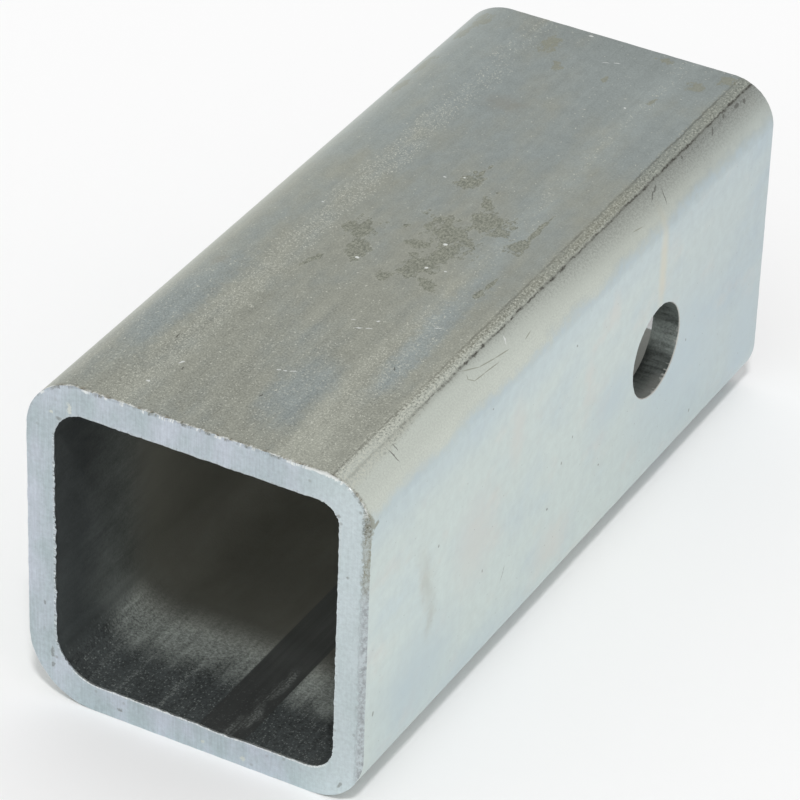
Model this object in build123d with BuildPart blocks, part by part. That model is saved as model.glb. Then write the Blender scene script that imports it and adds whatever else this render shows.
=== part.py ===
from build123d import *

import os

# Hitch receiver adapter: one sawn length of square steel tube. It slides into a wide receiver, takes the next
# smaller shank inside it, and a hitch pin passes through both of its side walls.
#
# All sizes are in millimetres. The origin lies where the pin hole's axis crosses the tube's centreline.
# +X runs along the pin hole, +Y along the tube towards the end that is nearer to the hole, and +Z is up.

# The tube
outer_side = 63.5  # width and height over the flat faces
wall = 5.25
length = 147.5

# Outside radius of each rolled corner, as seen from the end that is far from the hole
top_right_radius = 8.3
top_left_radius = 10.2
bottom_left_radius = 12.6
bottom_right_radius = 9.4
corner_fill = 1.0  # how much larger each inside radius is than an arc with the same centre would be

# The pin hole, through both side walls
pin_hole_diameter = 17.5
pin_hole_from_end = 43.75  # from the hole's axis to the nearer sawn end

# The trace left where the weld bead was scarfed off the inside of the bottom wall
seam_offset = 5.4  # from the middle of the wall towards +X
seam_width = 8.7
seam_depth = 0.25

# The edge that was broken with a file, on the +X side of the sawn end that is far from the hole
edge_break_on_end = 1.15
edge_break_on_side = 0.8

outer_radii = [top_right_radius, top_left_radius, bottom_left_radius, bottom_right_radius]
inner_radii = [radius - wall + corner_fill for radius in outer_radii]
inner_side = outer_side - 2 * wall
half_side = outer_side / 2
floor_height = -inner_side / 2
far_end = pin_hole_from_end - length


def square_corners(side):
    """Corners of a square about the tube's centreline, in the order of the radii above."""
    half = side / 2
    return [(half, half), (-half, half), (-half, -half), (half, -half)]


with BuildPart() as adapter_tube:
    # The rolled section, drawn on the end near the hole and run to the other end
    with BuildSketch(Plane.XZ.offset(-pin_hole_from_end)):
        with BuildLine():
            FilletPolyline(*square_corners(outer_side), radius=outer_radii, close=True)
        make_face()
        with BuildLine():
            FilletPolyline(*square_corners(inner_side), radius=inner_radii, close=True)
        make_face(mode=Mode.SUBTRACT)
        with BuildLine():
            scarf = ThreePointArc(
                (seam_offset - seam_width / 2, floor_height),
                (seam_offset, floor_height - seam_depth),
                (seam_offset + seam_width / 2, floor_height),
            )
            Line(scarf @ 1, scarf @ 0)
        make_face(mode=Mode.SUBTRACT)
    extrude(amount=length)

    # The hole for the hitch pin
    with Locations(Plane.YZ):
        Hole(radius=pin_hole_diameter / 2)

    # The filed edge, which runs out by itself on the rolled corners above and below it
    with BuildSketch(Plane.XY):
        with BuildLine():
            Polyline(
                (half_side - edge_break_on_end, far_end),
                (half_side, far_end + edge_break_on_side),
                (half_side, far_end),
                close=True,
            )
        make_face()
    extrude(amount=half_side, both=True, mode=Mode.SUBTRACT)

adapter_tube.part.label = "adapter_tube"

os.makedirs("parts", exist_ok=True)
export_step(adapter_tube.part, "parts/adapter_tube.step")
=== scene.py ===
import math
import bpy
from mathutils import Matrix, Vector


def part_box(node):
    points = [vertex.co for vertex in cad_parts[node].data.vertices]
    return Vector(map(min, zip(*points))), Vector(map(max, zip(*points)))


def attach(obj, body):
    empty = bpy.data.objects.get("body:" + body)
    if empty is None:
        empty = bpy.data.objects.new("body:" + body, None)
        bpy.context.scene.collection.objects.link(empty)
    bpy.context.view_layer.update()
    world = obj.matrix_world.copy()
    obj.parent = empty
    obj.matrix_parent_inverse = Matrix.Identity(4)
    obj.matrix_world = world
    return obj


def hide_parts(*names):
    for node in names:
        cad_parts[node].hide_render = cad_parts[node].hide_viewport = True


bl_info = {
    "name": "Hitch Receiver Adapter",
    "version": (1, 0, 0),
    "blender": (4, 5, 0),
    "location": "View3D > Sidebar > Adapter",
    "description": "Builds a zinc-plated square tube adapter with a pin hole, and a plain stage for it",
    "category": "Add Mesh",
}

import bmesh
import bpy
import numpy as np
from bpy.props import FloatProperty, FloatVectorProperty, PointerProperty
from mathutils import Quaternion, Vector

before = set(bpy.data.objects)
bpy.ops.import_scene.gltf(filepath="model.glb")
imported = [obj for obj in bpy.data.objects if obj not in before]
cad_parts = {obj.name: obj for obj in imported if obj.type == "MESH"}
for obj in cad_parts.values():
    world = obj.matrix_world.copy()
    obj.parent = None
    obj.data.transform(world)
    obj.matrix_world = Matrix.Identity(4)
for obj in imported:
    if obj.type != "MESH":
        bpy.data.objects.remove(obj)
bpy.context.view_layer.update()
tube_low, tube_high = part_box("adapter_tube")

MM = 0.001
HALF_SIDE = (tube_high[0] - tube_low[0]) / 2 / MM
FRONT = tube_low[1] / MM
BACK = tube_high[1] / MM
PIECE = "adapter_tube"

# Places of the finishes in the piece's list of materials
TOP, SIDE, SAWN, INSIDE, HOLE = range(5)

# Stations round the section, run by run. They start in the middle of the bottom wall and go up the left side.
BLOCK = 12.0  # half the side of the square of mesh round each end of the pin hole, in mm
BLOCK_STATIONS = 48
BLOCK_LINES = 36
STATIONS = {
    "bottom_left": 30,
    "corner_bottom_left": 26,
    "left_low": 10,
    "left_block": BLOCK_STATIONS,
    "left_high": 14,
    "corner_top_left": 28,
    "top": 74,
    "corner_top_right": 66,
    "right_high": 18,
    "right_block": BLOCK_STATIONS,
    "right_low": 16,
    "corner_bottom_right": 26,
    "bottom_right": 20,
    "scarf": 18,
    "bottom_middle": 2,
}

# Lines of mesh along the tube, in mm: where the first one lies, and how their spacing grows from the ends
END_CLEAR = 1.2
FIRST_STEP = 0.6
LARGEST_STEP = 2.9
FRONT_GROWTH = 1.16
BACK_GROWTH = 1.2

# Die lines: place round the tube from the middle of the top, width, share of the full depth, and seed
DIE_LINES = ((24.75, 0.3, 0.6, 21), (26.85, 0.36, 1.0, 22))
DIE_WANDER = ((38, 0.18), (9, 0.08))  # length and height of the waves in their course, in mm
DIE_BREAKS = ((13, 0.3), (7, 0.25))  # length in mm and height of the waves in their depth

# Sawn ends, in mm
SAWN_RECESS = 0.12  # from the tips of the burr back to the cut
BURR_SILL = 0.28  # from the inner skin to the foot of the burr on the cut
BURR_ROOT = 0.45  # from the end to the root of the burr on the inner skin
BACK_BURR = 0.4  # burr at the back, as a share of that at the front
TOP_CRUMBLE = 3.0  # height of the stretch below the top where the front's edge has crumbled

# Rings of mesh on a sawn end, as shares of the way across the broken edge and across the cut
EDGE_RINGS = (0.25, 0.5, 0.75)
CUT_RINGS = np.array([0.0, 0.02, 0.08, 0.2, 0.35, 0.5, 0.65, 0.8, 0.92])
RING_REACH = np.concatenate(([0.0, 0.015, 0.03, 0.045], 0.05 + 0.85 * CUT_RINGS, [0.93, 0.97, 1.0]))

# The pin hole: rings of mesh out to the block's border, depths of the rings in its wall, and its rims, in mm
HOLE_RINGS = np.array([0.0, 0.05, 0.12, 0.22, 0.35, 0.5, 0.7, 0.85, 1.0])
HOLE_DEPTHS = (1.2, 2.6, 4.0)
HOLE_RIM = 0.14
INNER_RIM = 0.6  # rim at the inner skin, as a share of that at the outer one
DRILL_WANDER = 0.05

# Where the surfaces lie on the square for baking: left, bottom, width and height
SKIN_SHEET = (0.01, 0.005, 0.98, 0.595)
BORE_SHEET = (0.01, 0.615, 0.52, 0.375)
FRONT_SHEET = (0.55, 0.77, 0.22, 0.22)
BACK_SHEET = (0.775, 0.77, 0.22, 0.22)
RIGHT_HOLE_SHEET = (0.55, 0.62, 0.42, 0.05)
LEFT_HOLE_SHEET = (0.55, 0.68, 0.42, 0.05)

# Seeds of what is uneven
SEEDS = {
    "front_cut": 11,
    "front_drop": 12,
    "back_cut": 13,
    "back_drop": 14,
    "filed": 15,
    "top_cut": 16,
    "top_drop": 17,
    "burr": 31,
    "burr_bunches": 32,
    "burr_height": 33,
    "drill": 41,
    "right_rim": 43,
    "left_rim": 41,
}

# Dark lines along the top right corner, in mm round the tube from the middle of the top
UPPER_LINE = 24.7
LOWER_LINE = 26.9
SECOND_LINE = 28.1

WELD_REACH = 0.002  # points that lie closer than this are welded, in mm
SHARP_EDGE = 38  # edges that turn by more than this stay sharp, in degrees
FLOOR_REACH = 20.0  # half the side of the floor, in m


def length(name, description, millimetres):
    """A size that the user may change."""
    return FloatProperty(
        name=name, description=description, default=millimetres * MM, min=0.0, precision=5, unit="LENGTH"
    )


def paint(red, green, blue):
    """A colour given as on screen, from 0 to 255, in the linear values that the shader reads."""
    linear = []
    for value in (red, green, blue):
        share = value / 255
        linear.append(share / 12.92 if share <= 0.04045 else ((share + 0.055) / 1.055) ** 2.4)
    return tuple(linear)


def colour(name, description, red, green, blue):
    """A colour that the user may change."""
    return FloatVectorProperty(
        name=name,
        description=description,
        default=paint(red, green, blue),
        min=0.0,
        max=1.0,
        size=3,
        subtype="COLOR",
    )


def angle(name, description, degrees):
    """An angle that the user may change."""
    return FloatProperty(name=name, description=description, default=math.radians(degrees), subtype="ANGLE")


def strength(name, description, level):
    """A strength of light that the user may change."""
    return FloatProperty(name=name, description=description, default=level, min=0.0)


class TubeSizes(bpy.types.PropertyGroup):
    """Sizes of the tube that its box does not give."""

    wall: length("Wall", "Thickness of the tube's wall", 5.25)
    top_right: length("Top right radius", "Outside radius of the rolled corner at top right", 8.3)
    top_left: length("Top left radius", "Outside radius of the rolled corner at top left", 10.2)
    bottom_left: length("Bottom left radius", "Outside radius of the rolled corner at bottom left", 12.6)
    bottom_right: length("Bottom right radius", "Outside radius of the rolled corner at bottom right", 9.4)
    corner_fill: length("Corner fill", "How much fuller the inside corners are than an even wall", 1.0)
    hole: length("Pin hole", "Diameter of the pin hole", 17.5)
    hole_wear: length("Hole wear", "How much the pin has drawn the hole out along the tube, each way", 0.28)
    scarf_place: length("Scarf place", "From the middle of the bottom wall to the scarfed weld", 5.4)
    scarf_width: length("Scarf width", "Width of the trace of the scarfed weld", 8.7)
    scarf_depth: length("Scarf depth", "Depth of the trace of the scarfed weld", 0.25)
    filed_end: length("Filed edge on the end", "Width that the filed edge takes from the sawn end", 1.15)
    filed_side: length("Filed edge on the side", "Width that the filed edge takes from the side", 0.8)
    saw_edge: length("Sawn edge", "Width of the broken edge round the sawn ends", 0.16)
    burr: length("Burr", "How far the saw burr leans into the tube", 0.62)
    die_line: length("Die line", "Depth of the two lines that the rolls left on the top right corner", 0.1)


class TubeColours(bpy.types.PropertyGroup):
    """Colours of the finishes."""

    zinc: colour("Zinc", "Zinc plate on the sides", 206, 216, 213)
    zinc_blue: colour("Blue zinc", "Bluish clouds in the plate", 188, 203, 211)
    # Warm zinc, also the colour of the painted light and the painted highlights in the pin hole
    warm_zinc_and_light: colour("Warm zinc", "Pinkish clouds in the plate", 211, 211, 206)
    film: colour("Film", "Dull film below the top right corner", 211, 216, 207)
    top_blue: colour("Top, blue grey", "Rubbed plate on the top, blue-grey parts", 163, 171, 169)
    top_olive: colour("Top, olive", "Rubbed plate on the top, olive parts", 169, 171, 160)
    fleck: colour("Flecks", "Bright flecks in the rubbed plate", 222, 224, 212)
    stain: colour("Stains", "Dark grains of the patches where the plate has lifted", 108, 111, 99)
    stain_pale: colour("Stains, pale", "Pale grains of the patches where the plate has lifted", 161, 163, 149)
    tan: colour("Tan", "Small tan patches", 148, 148, 130)
    # Bare metal, also the colour of painted highlights along edges
    bare_and_glint: colour("Bare metal", "Chips, scratches and sharp edges", 240, 243, 240)
    line: colour("Die lines", "Dirt in the lines on the top right corner", 58, 56, 49)
    rust: colour("Rust", "Faint rust under the plate", 150, 135, 112)
    # Dirt, also the colour of the painted shade below the die lines
    dirt: colour("Dirt", "Smudges and dark specks", 121, 122, 117)
    drip: colour("Drip", "Yellowish run above the pin hole", 214, 209, 190)
    sawn: colour("Sawn ends", "Plated saw cuts", 184, 197, 201)
    sawn_lilac: colour("Sawn ends, lilac", "Lilac parts of the saw cuts", 190, 197, 206)
    sawn_pale: colour("Sawn ends, pale", "Pale part of the saw cuts beside the filed edge", 203, 215, 216)
    filed: colour("Filed edge", "The edge that was broken with a file", 178, 184, 187)
    inside: colour("Inside", "Scaled steel inside, near the front", 141, 147, 142)
    soot: colour("Soot", "Dark film inside, near the ends", 70, 75, 75)
    inside_deep: colour("Inside, deep", "Scaled steel inside, far from the front", 146, 146, 136)
    # Painted light: the colour that makes the bottom wall beyond the pin hole paler, where light comes in
    # from the far end
    inside_painted_light: colour("Inside, pale", "Dusty bottom wall beyond the pin hole", 166, 169, 164)
    inside_glint: colour("Inside, bright", "Bright grains and rubbed places inside", 208, 216, 210)
    scarf: colour("Scarf", "The trace of the scarfed weld", 54, 56, 55)
    hole: colour("Hole wall", "Wall of the pin hole", 112, 118, 115)


class StageSettings(bpy.types.PropertyGroup):
    """The studio round the tube, and the camera."""

    floor: colour("Floor", "Colour of the floor", 250, 250, 250)
    sky: strength("Sky", "Level of the even light from all round", 0.7)
    key: strength("Key light", "Strength of the main light", 1.15)
    key_azimuth: angle("Key azimuth", "Side that the main light comes from", 30)
    key_height: angle("Key height", "Main light above the horizon", 61)
    key_softness: angle("Key softness", "Width of the main light in the sky", 7)
    camera_place: FloatVectorProperty(
        name="Camera",
        description="Place of the camera",
        default=(0.31518, -0.63044, 0.44679),
        subtype="TRANSLATION",
    )
    camera_azimuth: angle("Azimuth", "Turn of the view about the upright", 27.898)
    camera_height: angle("Elevation", "How steeply the view looks down", 33.654)
    camera_roll: angle("Roll", "Turn of the view about its own axis", 2.175)
    lens: FloatProperty(name="Lens", description="Focal length in mm", default=211.515, min=1.0)


# Outlines and places


def straight(start, end, count):
    """Points from start up to end, without end itself."""
    share = np.arange(count)[:, None] / count
    return np.asarray(start, float) + share * (np.asarray(end, float) - np.asarray(start, float))


def rounded(centre, radius, start_angle, count):
    """Points of a quarter turn, clockwise as seen from the open end, without its last point."""
    angle = np.radians(start_angle - 90 * np.arange(count) / count)
    return np.asarray(centre) + radius * np.column_stack((np.cos(angle), np.sin(angle)))


def section_outline(half, radii, scarf_edges):
    """Points (x, z) round one skin of the tube, in mm, and their way round it from the top's middle."""
    top_right, top_left, bottom_left, bottom_right = radii
    scarf_left, scarf_right = scarf_edges
    count = STATIONS
    before_top = [
        straight((0, -half), (bottom_left - half, -half), count["bottom_left"]),
        rounded((bottom_left - half, bottom_left - half), bottom_left, 270, count["corner_bottom_left"]),
        straight((-half, bottom_left - half), (-half, -BLOCK), count["left_low"]),
        straight((-half, -BLOCK), (-half, BLOCK), count["left_block"]),
        straight((-half, BLOCK), (-half, half - top_left), count["left_high"]),
        rounded((top_left - half, half - top_left), top_left, 180, count["corner_top_left"]),
    ]
    after_top = [
        straight((top_left - half, half), (half - top_right, half), count["top"]),
        rounded((half - top_right, half - top_right), top_right, 90, count["corner_top_right"]),
        straight((half, half - top_right), (half, BLOCK), count["right_high"]),
        straight((half, BLOCK), (half, -BLOCK), count["right_block"]),
        straight((half, -BLOCK), (half, bottom_right - half), count["right_low"]),
        rounded((half - bottom_right, bottom_right - half), bottom_right, 0, count["corner_bottom_right"]),
        straight((half - bottom_right, -half), (scarf_right, -half), count["bottom_right"]),
        straight((scarf_right, -half), (scarf_left, -half), count["scarf"]),
        straight((scarf_left, -half), (0, -half), count["bottom_middle"]),
        np.array([[0.0, -half]]),
    ]
    points = np.concatenate(before_top + after_top)
    steps = np.linalg.norm(np.diff(points, axis=0), axis=1)
    around = np.concatenate(([0.0], np.cumsum(steps)))
    top_start = sum(len(run) for run in before_top)
    return points, around - around[top_start] - (half - top_left)


def outward(points):
    """Unit normals of a closed outline whose last point repeats its first."""
    loop = points[:-1]
    along = np.roll(loop, -1, axis=0) - np.roll(loop, 1, axis=0)
    normal = np.column_stack((-along[:, 1], along[:, 0]))
    normal /= np.linalg.norm(normal, axis=1)[:, None]
    return np.concatenate((normal, normal[:1]))


def run_slice(name):
    """The stations of one run of the section."""
    start = 0
    for run, count in STATIONS.items():
        if run == name:
            return slice(start, start + count + 1)
        start += count
    raise KeyError(name)


def graded(start, end, step, growth, largest):
    """Places from start to end whose spacing grows from step to largest."""
    places = [start]
    while places[-1] < end:
        places.append(places[-1] + step)
        step = min(step * growth, largest)
    places = np.array(places)
    return start + (places - start) * (end - start) / (places[-1] - start)


def wander(place, seed, *waves):
    """A smooth wandering value about 0 along place. Each wave is its length and its height."""
    draw = np.random.default_rng(seed)
    total = np.zeros_like(place)
    for wave, height in waves:
        for share in (1.0, 1.37, 0.71):
            total += height * np.sin(2 * np.pi * place / (wave * share) + draw.uniform(0, 2 * np.pi))
    return total / 2


def rough(count, seed, smooth):
    """Random values from 0 to 1 round a loop, smoothed over a few stations."""
    values = np.random.default_rng(seed).uniform(0, 1, count)
    for _ in range(smooth):
        values = (np.roll(values, 1) + 2 * values + np.roll(values, -1)) / 4
    values = (values - values.min()) / (values.max() - values.min())
    return np.concatenate((values, values[:1]))


class Shell:
    """Grids of points that are welded into one closed mesh."""

    def __init__(self):
        self.points = []
        self.faces = []
        self.unrolled = []
        self.baked = []
        self.finish = []
        self.count = 0

    def add(self, points, unrolled, baked, finish, skip=None):
        """Adds a grid of points, with its two sets of surface coordinates. skip marks cells that stay open.

        finish is one place in the list of materials, or one for each column of cells."""
        rows, columns = points.shape[:2]
        number = self.count + np.arange(rows * columns).reshape(rows, columns)
        corners = [np.s_[:-1, :-1], np.s_[:-1, 1:], np.s_[1:, 1:], np.s_[1:, :-1]]
        keep = np.ones((rows - 1, columns - 1), bool) if skip is None else ~skip
        self.points.append(points.reshape(-1, 3))
        self.faces.append(np.stack([number[corner][keep] for corner in corners], axis=1))
        self.unrolled.append(np.stack([unrolled[corner][keep] for corner in corners], axis=1))
        self.baked.append(np.stack([baked[corner][keep] for corner in corners], axis=1))
        self.finish.append(np.broadcast_to(finish, keep.shape)[keep])
        self.count += rows * columns

    def mesh(self, name):
        """The welded mesh, in metres."""
        mesh = bpy.data.meshes.new(name)
        mesh.from_pydata(np.concatenate(self.points) * MM, [], np.concatenate(self.faces).tolist())
        for layer, values in (("OFBake", self.baked), ("Unrolled", self.unrolled)):
            flat = np.concatenate(values).reshape(-1).astype(np.float32)
            mesh.uv_layers.new(name=layer).data.foreach_set("uv", flat)
        mesh.polygons.foreach_set("material_index", np.concatenate(self.finish).astype(np.int32))
        work = bmesh.new()
        work.from_mesh(mesh)
        bmesh.ops.remove_doubles(work, verts=work.verts, dist=WELD_REACH * MM)
        bmesh.ops.recalc_face_normals(work, faces=work.faces)
        loose = [edge for edge in work.edges if len(edge.link_faces) != 2]
        work.to_mesh(mesh)
        work.free()
        if loose:
            raise RuntimeError(f"{name} is not closed: {len(loose)} edges")
        mesh.polygons.foreach_set("use_smooth", np.ones(len(mesh.polygons), bool))
        mesh.set_sharp_from_angle(angle=math.radians(SHARP_EDGE))
        return mesh


def spread(values, rows):
    """One row of values, repeated as the rows of a grid."""
    return np.broadcast_to(values, (rows,) + values.shape).copy()


def laid_out(first, second, sheet, reach):
    """Coordinates for baking, from the distances along a grid's two sides and how far each one reaches."""
    left, bottom, width, height = sheet
    return np.stack((left + width * first / reach[0], bottom + height * second / reach[1]), axis=-1)


def in_space(x, y, z):
    """Points from their x, y and z, any of which may be one value for all."""
    return np.stack(np.broadcast_arrays(x, y, z), axis=-1)


def hole_border():
    """Points (y, z) round the block of mesh at an end of the pin hole, with the first one repeated."""
    y_side = np.linspace(-BLOCK, BLOCK, BLOCK_LINES + 1)
    z_side = np.linspace(BLOCK, -BLOCK, BLOCK_STATIONS + 1)
    return np.concatenate((
        np.column_stack((y_side[:-1], np.full(BLOCK_LINES, BLOCK))),
        np.column_stack((np.full(BLOCK_STATIONS, BLOCK), z_side[:-1])),
        np.column_stack((y_side[:0:-1], np.full(BLOCK_LINES, -BLOCK))),
        np.column_stack((np.full(BLOCK_STATIONS, -BLOCK), z_side[:0:-1])),
        [[-BLOCK, BLOCK]],
    ))


class TubeShape:
    """The tube's skins, sawn ends and pin hole, in mm. x and z lie across the tube and y runs along it."""

    def __init__(self, sizes):
        self.sizes = sizes
        self.wall = sizes.wall / MM
        self.inner_half = HALF_SIDE - self.wall
        corners = (sizes.top_right, sizes.top_left, sizes.bottom_left, sizes.bottom_right)
        radii = [corner / MM for corner in corners]
        inner_radii = [radius - self.wall + sizes.corner_fill / MM for radius in radii]
        self.scarf_middle = sizes.scarf_place / MM
        self.scarf_half = sizes.scarf_width / MM / 2
        scarf_edges = (self.scarf_middle - self.scarf_half, self.scarf_middle + self.scarf_half)
        self.outer, self.outer_around = section_outline(HALF_SIDE, radii, scarf_edges)
        self.inner, self.inner_around = section_outline(self.inner_half, inner_radii, scarf_edges)
        self.outer_normal = outward(self.outer)
        self.inner_normal = outward(self.inner)
        self.stations = len(self.outer)
        self.shell = Shell()

        # Lines along the tube, close at both ends and even beside the pin hole, where the cells stay open
        fore = graded(FRONT + END_CLEAR, -BLOCK, FIRST_STEP, FRONT_GROWTH, LARGEST_STEP)
        middle = np.linspace(-BLOCK, BLOCK, BLOCK_LINES + 1)
        aft = -graded(-BACK + END_CLEAR, -BLOCK, FIRST_STEP, BACK_GROWTH, LARGEST_STEP)[::-1]
        self.lines = np.concatenate((fore[:-1], middle, aft[1:]))
        self.open_cells = np.zeros((len(self.lines) + 1, self.stations - 1), bool)
        for side in ("left_block", "right_block"):
            columns = run_slice(side)
            self.open_cells[len(fore):len(fore) + BLOCK_LINES, columns.start:columns.stop - 1] = True

    def uneven(self, name, smooth):
        """Random values from 0 to 1 at the stations round the section."""
        return rough(self.stations - 1, SEEDS[name], smooth)

    def skin_baked(self, around, along):
        """Coordinates for baking on the outer skin."""
        first = self.outer_around[0]
        return laid_out(around - first, along, SKIN_SHEET, (self.outer_around[-1] - first, BACK - FRONT))

    def bore_baked(self, around, along):
        """Coordinates for baking on the inner skin."""
        first = self.inner_around[0]
        return laid_out(around - first, along, BORE_SHEET, (self.inner_around[-1] - first, BACK - FRONT))

    def front_edge(self):
        """How far the front's outer edge is cut away, on the end and on the side, filed on the right."""
        saw = self.sizes.saw_edge / MM
        on_top = np.clip((self.outer[:, 1] - HALF_SIDE + TOP_CRUMBLE) / TOP_CRUMBLE, 0, 1)
        cut = saw * (0.7 + 0.9 * self.uneven("front_cut", 1))
        cut += 0.4 * on_top * self.uneven("top_cut", 0) ** 3
        drop = saw * (0.7 + 1.1 * self.uneven("front_drop", 1))
        drop += 0.3 * on_top * self.uneven("top_drop", 0) ** 3
        filed_end = self.sizes.filed_end / MM
        filed_side = self.sizes.filed_side / MM
        past = self.outer[:, 0] - (HALF_SIDE - filed_end)
        lean = np.maximum(self.outer_normal[:, 0], 0.35)
        ragged = self.uneven("filed", 1) - 0.5
        filed_cut = np.maximum(cut, past / lean + 0.5 * ragged)
        filed_drop = np.maximum(drop, filed_side * past / filed_end + 0.12 * ragged)
        return np.where(past > 0, filed_cut, cut), np.where(past > 0, filed_drop, drop)

    def back_edge(self):
        """How far the back's outer edge is cut away, on the end and on the side."""
        saw = self.sizes.saw_edge / MM
        cut = saw * (0.7 + 0.6 * self.uneven("back_cut", 2))
        drop = saw * (0.7 + 0.6 * self.uneven("back_drop", 2))
        return cut, drop

    def outer_skin(self, front_drop, back_drop):
        """The outer skin, with the two lines that the rolls pressed into the top right corner."""
        rows = np.concatenate(([0.0], self.lines, [0.0]))
        section = spread(self.outer, len(rows))
        run = np.broadcast_to(rows[:, None], section.shape[:2]).copy()
        run[0] = FRONT + front_drop
        run[-1] = BACK - back_drop
        along = run - FRONT
        around = np.broadcast_to(self.outer_around, run.shape)
        for place, width, share, seed in DIE_LINES:
            course = place + wander(along, seed, *DIE_WANDER)
            level = np.clip(0.75 + wander(along, seed + 5, *DIE_BREAKS), 0.1, 1)
            pressed = np.exp(-(((around - course) / width) ** 2)) * level
            section -= (pressed * share * self.sizes.die_line / MM)[..., None] * self.outer_normal
        finish = np.full(self.stations - 1, SIDE)
        finish[run_slice("corner_top_left").start:run_slice("corner_top_right").stop - 1] = TOP
        skin = in_space(section[..., 0], run, section[..., 1])
        unrolled = np.stack((around, along), axis=-1)
        self.shell.add(skin, unrolled, self.skin_baked(around, along), finish, self.open_cells)
        return skin

    def inner_skin(self):
        """The inner skin, with the trace of the scarfed weld in the bottom wall. Gives back its section."""
        rows = np.concatenate(([FRONT + BURR_ROOT], self.lines, [BACK - BURR_ROOT]))
        section = self.inner.copy()
        from_scarf = np.abs(section[:, 0] - self.scarf_middle) / self.scarf_half
        scarf = np.where((section[:, 1] < 0) & (from_scarf < 1), 1 - from_scarf**2, 0)
        section[:, 1] -= scarf * self.sizes.scarf_depth / MM
        bore = in_space(section[:, 0], rows[:, None], section[:, 1])
        around = np.broadcast_to(self.inner_around, bore.shape[:2])
        along = bore[..., 1] - FRONT
        unrolled = np.stack((around, along), axis=-1)
        self.shell.add(bore, unrolled, self.bore_baked(around, along), INSIDE, self.open_cells)
        return section

    def burr(self):
        """How far the burr leans into the tube and how high it stands. It is longest on the left wall."""
        bunches = self.uneven("burr", 0) * self.uneven("burr_bunches", 2)
        left_wall = (self.inner[:, 0] < -self.inner_half + 4) & (self.inner[:, 1] < self.inner_half - 6)
        lean = self.sizes.burr / MM * bunches * np.where(left_wall, 1.0, 0.45)
        height = np.clip(SAWN_RECESS * (0.25 + 0.75 * self.uneven("burr_height", 1)), 0, SAWN_RECESS)
        return lean, height

    def sawn_end(self, end, inwards, skin_edge, inner_section, edge, burr, sheet):
        """One sawn end: the broken outer edge, the cut, and the burr on the inner edge."""
        cut, drop = edge
        lean, height = burr
        flat = end + inwards * SAWN_RECESS
        rim = self.outer - self.outer_normal * cut[:, None]
        sill = inner_section + self.inner_normal * BURR_SILL
        tip = inner_section - self.inner_normal * lean[:, None]
        rings = [skin_edge]
        for share in EDGE_RINGS:
            bulge = 0.05 * np.minimum(cut, 0.25) * math.sin(math.pi * share)
            place = self.outer - self.outer_normal * (cut * share - bulge)[:, None]
            level = end + inwards * (drop * (1 - share) + SAWN_RECESS * share - bulge)
            rings.append(in_space(place[:, 0], level, place[:, 1]))
        for share in CUT_RINGS:
            place = rim + (sill - rim) * share
            rings.append(in_space(place[:, 0], flat, place[:, 1]))
        rings.append(in_space(sill[:, 0], flat, sill[:, 1]))
        rings.append(in_space(tip[:, 0], flat - inwards * height, tip[:, 1]))
        rings.append(in_space(inner_section[:, 0], end + inwards * BURR_ROOT, inner_section[:, 1]))
        rings = np.array(rings)
        width = 2 * HALF_SIDE
        baked = laid_out(rings[..., 0] + HALF_SIDE, rings[..., 2] + HALF_SIDE, sheet, (width, width))
        unrolled = np.stack(np.broadcast_arrays(self.outer_around, RING_REACH[:, None]), axis=-1)
        self.shell.add(rings, unrolled, baked, SAWN)

    def pin_hole(self, side, block, rim_seed, sheet):
        """One end of the pin hole: a ring of mesh in each skin, and the wall between them."""
        radius = self.sizes.hole / MM / 2
        border = hole_border()
        angle = np.arctan2(border[:, 1], border[:, 0])
        spokes = np.column_stack((np.cos(angle), np.sin(angle)))
        count = len(border) - 1
        wear = self.sizes.hole_wear / MM * np.cos(angle) ** 2
        drilled = radius + DRILL_WANDER * (rough(count, SEEDS["drill"], 0) - 0.5) + wear
        rim = HOLE_RIM * (0.6 + 0.9 * rough(count, SEEDS[rim_seed], 1))
        inner_rim = INNER_RIM * rim
        columns = run_slice(block)
        skins = (
            (HALF_SIDE, self.outer_around[columns].mean(), rim, SIDE, self.skin_baked),
            (self.inner_half, self.inner_around[columns].mean(), inner_rim, INSIDE, self.bore_baked),
        )
        for distance, middle, edge, finish, baked in skins:
            start = spokes * (drilled + edge)[:, None]
            ring = start + HOLE_RINGS[:, None, None] * (border - start)
            around = middle - side * ring[..., 1]
            along = ring[..., 0] - FRONT
            points = in_space(side * distance, ring[..., 0], ring[..., 1])
            self.shell.add(points, np.stack((around, along), axis=-1), baked(around, along), finish)
        levels = [HALF_SIDE, HALF_SIDE - rim, *(HALF_SIDE - depth for depth in HOLE_DEPTHS)]
        levels += [self.inner_half + inner_rim, self.inner_half]
        widths = [drilled + rim] + [drilled] * (len(levels) - 2) + [drilled + inner_rim]
        rings = []
        for level, width in zip(levels, widths):
            place = spokes * width[:, None]
            rings.append(in_space(side * level, place[:, 0], place[:, 1]))
        rings = np.array(rings)
        turned = np.unwrap(angle)
        deep = HALF_SIDE - np.abs(rings[..., 0])
        around = np.broadcast_to(radius * (turned - turned.min()), deep.shape)
        baked = laid_out(around, deep, sheet, (2 * np.pi * radius, self.wall))
        self.shell.add(rings, np.stack((around, deep), axis=-1), baked, HOLE)


def tube_mesh(sizes):
    """The whole tube as one closed mesh."""
    shape = TubeShape(sizes)
    front_edge = shape.front_edge()
    back_edge = shape.back_edge()
    skin = shape.outer_skin(front_edge[1], back_edge[1])
    inner_section = shape.inner_skin()
    front_burr = shape.burr()
    back_burr = [BACK_BURR * values for values in front_burr]
    shape.sawn_end(FRONT, 1, skin[0], inner_section, front_edge, front_burr, FRONT_SHEET)
    shape.sawn_end(BACK, -1, skin[-1], inner_section, back_edge, back_burr, BACK_SHEET)
    shape.pin_hole(1, "right_block", "right_rim", RIGHT_HOLE_SHEET)
    shape.pin_hole(-1, "left_block", "left_rim", LEFT_HOLE_SHEET)
    return shape.shell.mesh(PIECE)


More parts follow.
